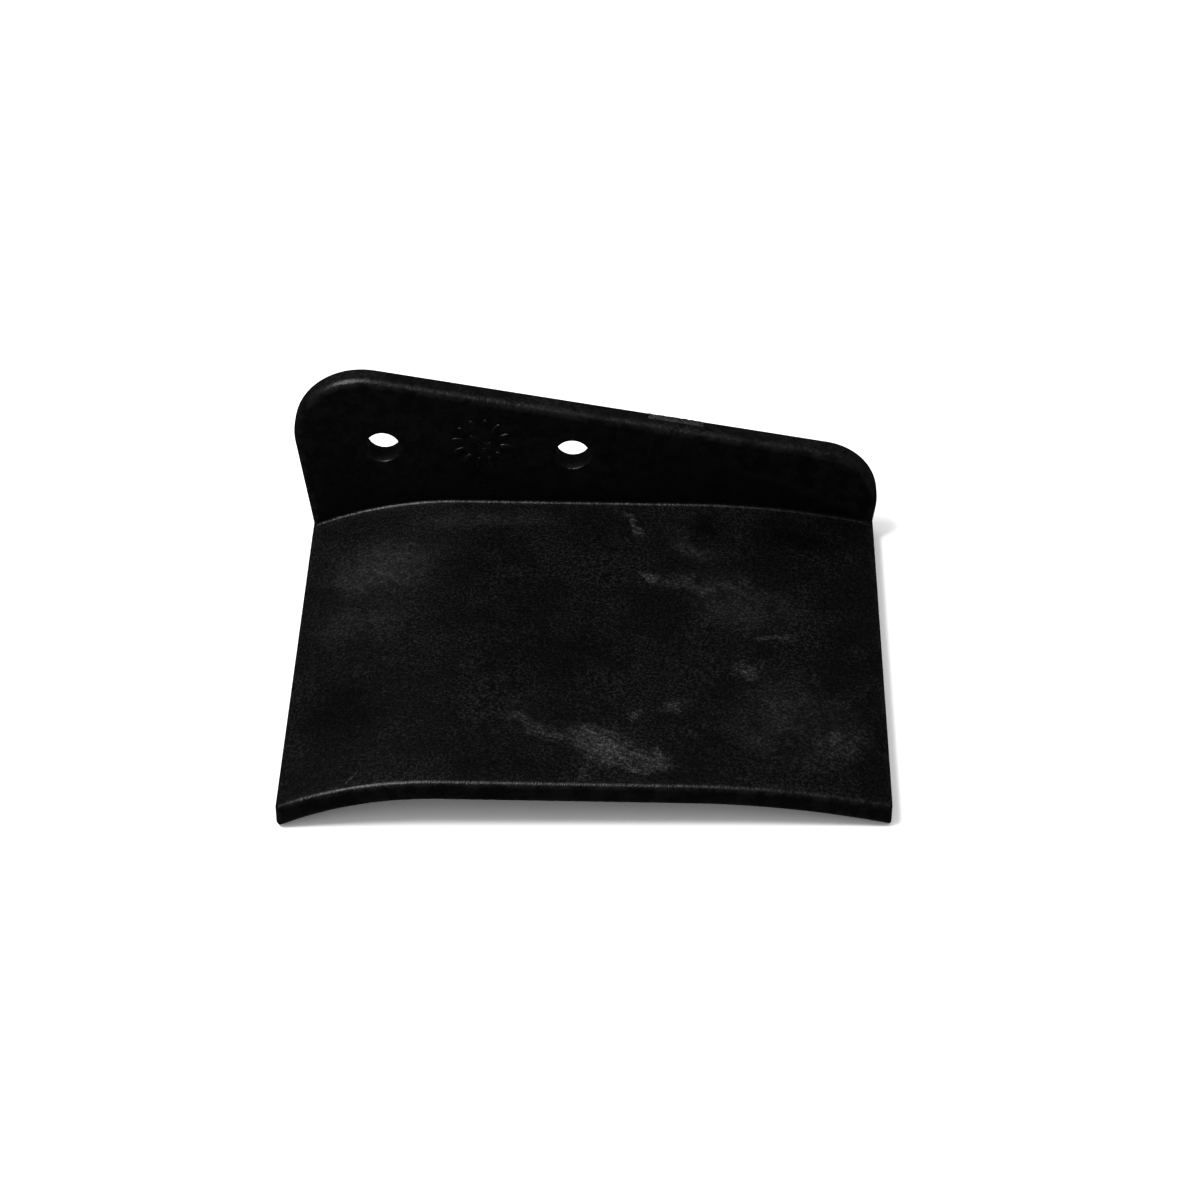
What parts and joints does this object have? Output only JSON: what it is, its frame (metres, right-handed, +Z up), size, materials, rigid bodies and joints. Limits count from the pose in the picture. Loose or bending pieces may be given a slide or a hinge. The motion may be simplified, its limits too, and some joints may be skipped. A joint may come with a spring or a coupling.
{
  "type": "mud flap",
  "caption": "Moulded rubber mud flap: an arched flap that stops wheel spray, with an upright bolt-on flange whose rounded top edge slopes down to one side.",
  "frame": {"origin": "centre of the part's bounding box in plan, on the floor that the flap's two side edges stand on", "axes": "+X runs to the right along the flange, towards its low end; +Y runs backward, out of the flange's clamping face; +Z is up the flange"},
  "size_m": [0.1534, 0.1164, 0.0539],
  "materials": {
    "rubber": "black moulded rubber, satin on the flange, finely grained and lightly scuffed on the flap"
  },
  "bodies": {
    "root": {"flap_moulding": "rubber"}
  },
  "joints": []
}
